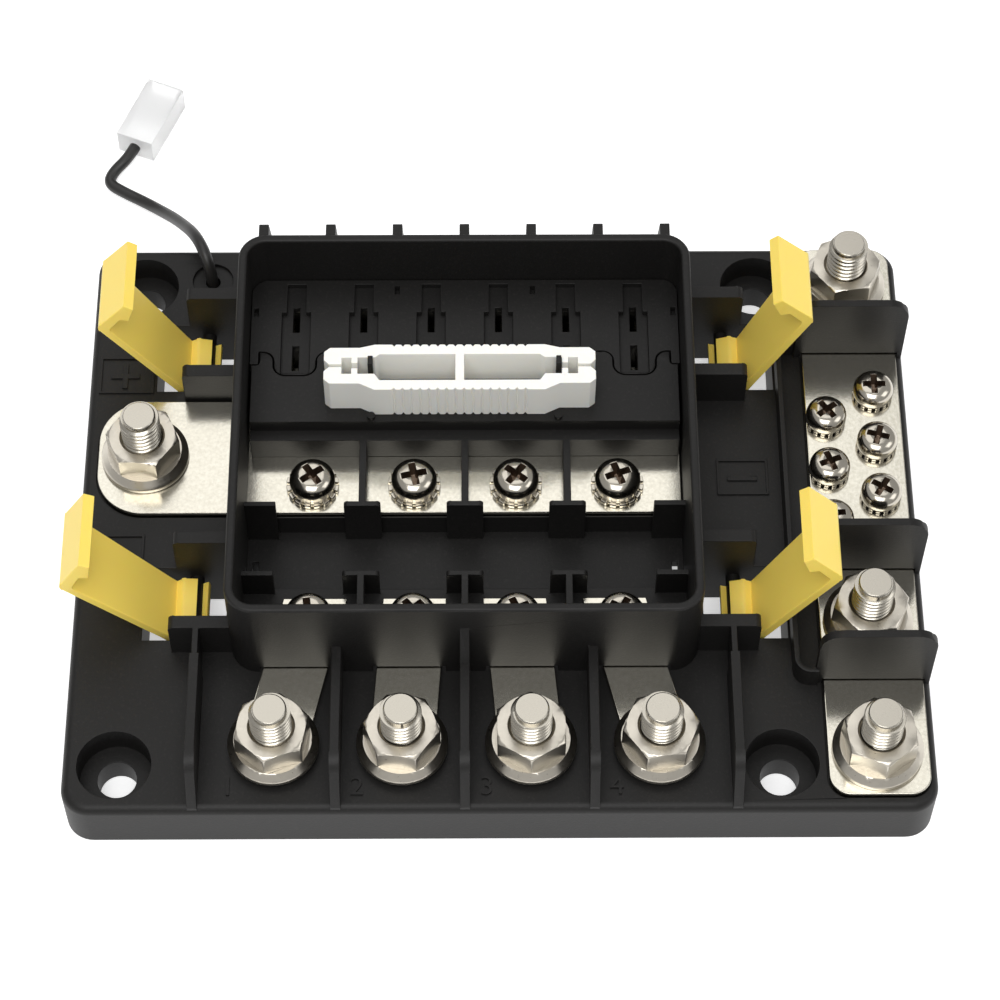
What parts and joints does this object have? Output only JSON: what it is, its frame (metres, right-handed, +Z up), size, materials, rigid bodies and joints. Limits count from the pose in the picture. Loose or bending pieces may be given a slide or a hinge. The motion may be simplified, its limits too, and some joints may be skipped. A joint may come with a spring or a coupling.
{
  "type": "blade fuse block",
  "caption": "Black power distribution fuse block with open fuse compartment, threaded studs, bus plates, blade fuse seats, a puller and yellow snap latches.",
  "frame": {"origin": "middle of the base's underside", "axes": "+X to the right along the long side, +Y to the rear, +Z up, away from the panel"},
  "size_m": [0.1699, 0.1828, 0.0459],
  "materials": {
    "black_plastic": "lightly textured glass filled nylon",
    "yellow_plastic": "satin nylon",
    "natural_nylon": "satin natural nylon",
    "plated_brass": "bright tin plating, uneven",
    "stainless_steel": "turned and polished",
    "nickel_screw": "bright nickel plating",
    "turned_brass": "machined",
    "cable_jacket": "soft black jacket"
  },
  "bodies": {
    "block": {"housing": "black_plastic", "housing_walls": "black_plastic", "blade_fuse_bank": "black_plastic", "bus_cover": "black_plastic", "fuse_puller": "natural_nylon", "lead_connector": "natural_nylon", "positive_bus_plate": "plated_brass", "negative_bus_plate": "plated_brass", "output_tab_1": "plated_brass", "output_tab_2": "plated_brass", "output_tab_3": "plated_brass", "output_tab_4": "plated_brass", "bus_clip_1": "plated_brass", "bus_clip_2": "plated_brass", "bus_clip_3": "plated_brass", "bus_clip_4": "plated_brass", "bus_clip_5": "plated_brass", "bus_clip_6": "plated_brass", "output_terminal_1": "plated_brass", "output_terminal_2": "plated_brass", "output_terminal_3": "plated_brass", "output_terminal_4": "plated_brass", "output_terminal_5": "plated_brass", "output_terminal_6": "plated_brass", "positive_stud": "stainless_steel", "positive_nut": "stainless_steel", "output_studs": "stainless_steel", "output_nuts": "stainless_steel", "negative_studs": "stainless_steel", "negative_nuts": "stainless_steel", "negative_screws": "nickel_screw", "negative_lock_washers": "nickel_screw", "bus_row_screws": "nickel_screw", "bus_row_lock_washers": "nickel_screw", "tab_row_screws": "nickel_screw", "tab_row_lock_washers": "nickel_screw", "output_terminal_screws": "nickel_screw", "fuse_screw_inserts": "turned_brass", "negative_screw_inserts": "turned_brass", "output_terminal_inserts": "turned_brass", "indicator_lead": "cable_jacket"},
    "front_left_latch": {"latch_front_left": "yellow_plastic"},
    "rear_left_latch": {"latch_rear_left": "yellow_plastic"},
    "front_right_latch": {"latch_front_right": "yellow_plastic"},
    "rear_right_latch": {"latch_rear_right": "yellow_plastic"}
  },
  "joints": [
    {"name": "front_left_hinge", "type": "hinge", "parent": "block", "child": "front_left_latch", "pos_m": [-0.0602, -0.02045, 0.0084], "axis": [0, 1, 0], "range_deg": [0, 38]},
    {"name": "rear_left_hinge", "type": "hinge", "parent": "block", "child": "rear_left_latch", "pos_m": [-0.0602, 0.0369, 0.0084], "axis": [0, 1, 0], "range_deg": [0, 29]},
    {"name": "front_right_hinge", "type": "hinge", "parent": "block", "child": "front_right_latch", "pos_m": [0.0469, -0.02135, 0.0084], "axis": [0, -1, 0], "range_deg": [0, 26.5]},
    {"name": "rear_right_hinge", "type": "hinge", "parent": "block", "child": "rear_right_latch", "pos_m": [0.0469, 0.0369, 0.0084], "axis": [0, -1, 0], "range_deg": [0, 22]}
  ]
}
